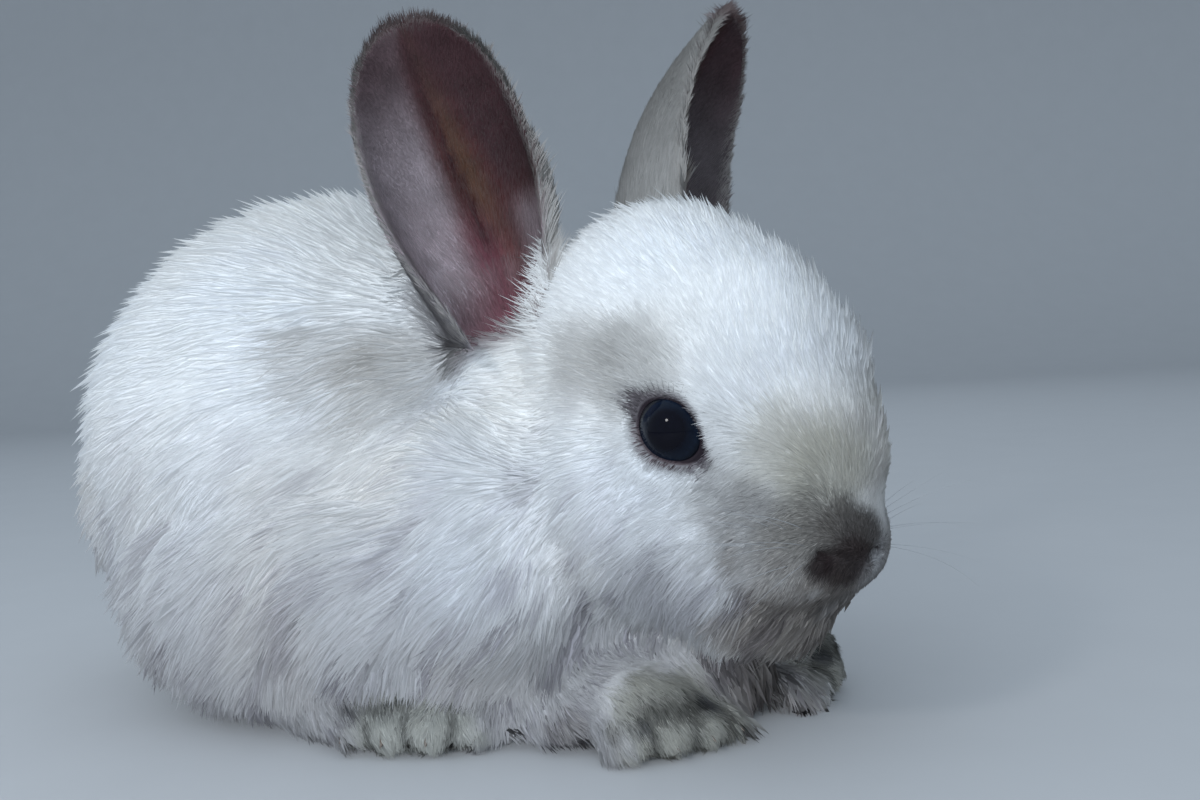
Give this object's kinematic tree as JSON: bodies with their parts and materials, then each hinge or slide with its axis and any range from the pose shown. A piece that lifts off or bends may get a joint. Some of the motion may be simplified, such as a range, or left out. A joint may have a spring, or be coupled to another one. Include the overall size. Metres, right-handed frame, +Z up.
{
  "type": "young rabbit with upright ears, still model",
  "caption": "Life-size still model of a very young white rabbit, crouched in a loaf with both ears up and its head turned to its right.",
  "frame": {"origin": "on the floor, below the middle of the whole animal's box", "axes": "+X the way the trunk faces, +Y the animal's left, +Z up"},
  "size_m": [0.1556, 0.084, 0.1078],
  "materials": {
    "coat": "soft white fur with grey-beige shading",
    "ear": "thin short-haired skin, brown inside and pale grey outside",
    "eye": "wet, almost black",
    "claw": "small translucent grey-brown horn"
  },
  "bodies": {
    "root": {"head": "coat", "neck": "coat", "trunk": "coat", "tail": "coat", "leg_front_right": "coat", "leg_front_left": "coat", "leg_hind_right": "coat", "leg_hind_left": "coat", "ear_right": "ear", "ear_left": "ear", "eye_right": "eye", "eye_left": "eye", "claw_front_right_1": "claw", "claw_front_right_2": "claw", "claw_front_right_3": "claw", "claw_front_right_4": "claw", "claw_front_right_5": "claw", "claw_hind_right_1": "claw", "claw_hind_right_2": "claw", "claw_hind_right_3": "claw", "claw_hind_right_4": "claw", "claw_front_left_1": "claw", "claw_front_left_2": "claw", "claw_front_left_3": "claw", "claw_front_left_4": "claw", "claw_front_left_5": "claw", "claw_hind_left_1": "claw", "claw_hind_left_2": "claw", "claw_hind_left_3": "claw", "claw_hind_left_4": "claw"}
  },
  "joints": []
}
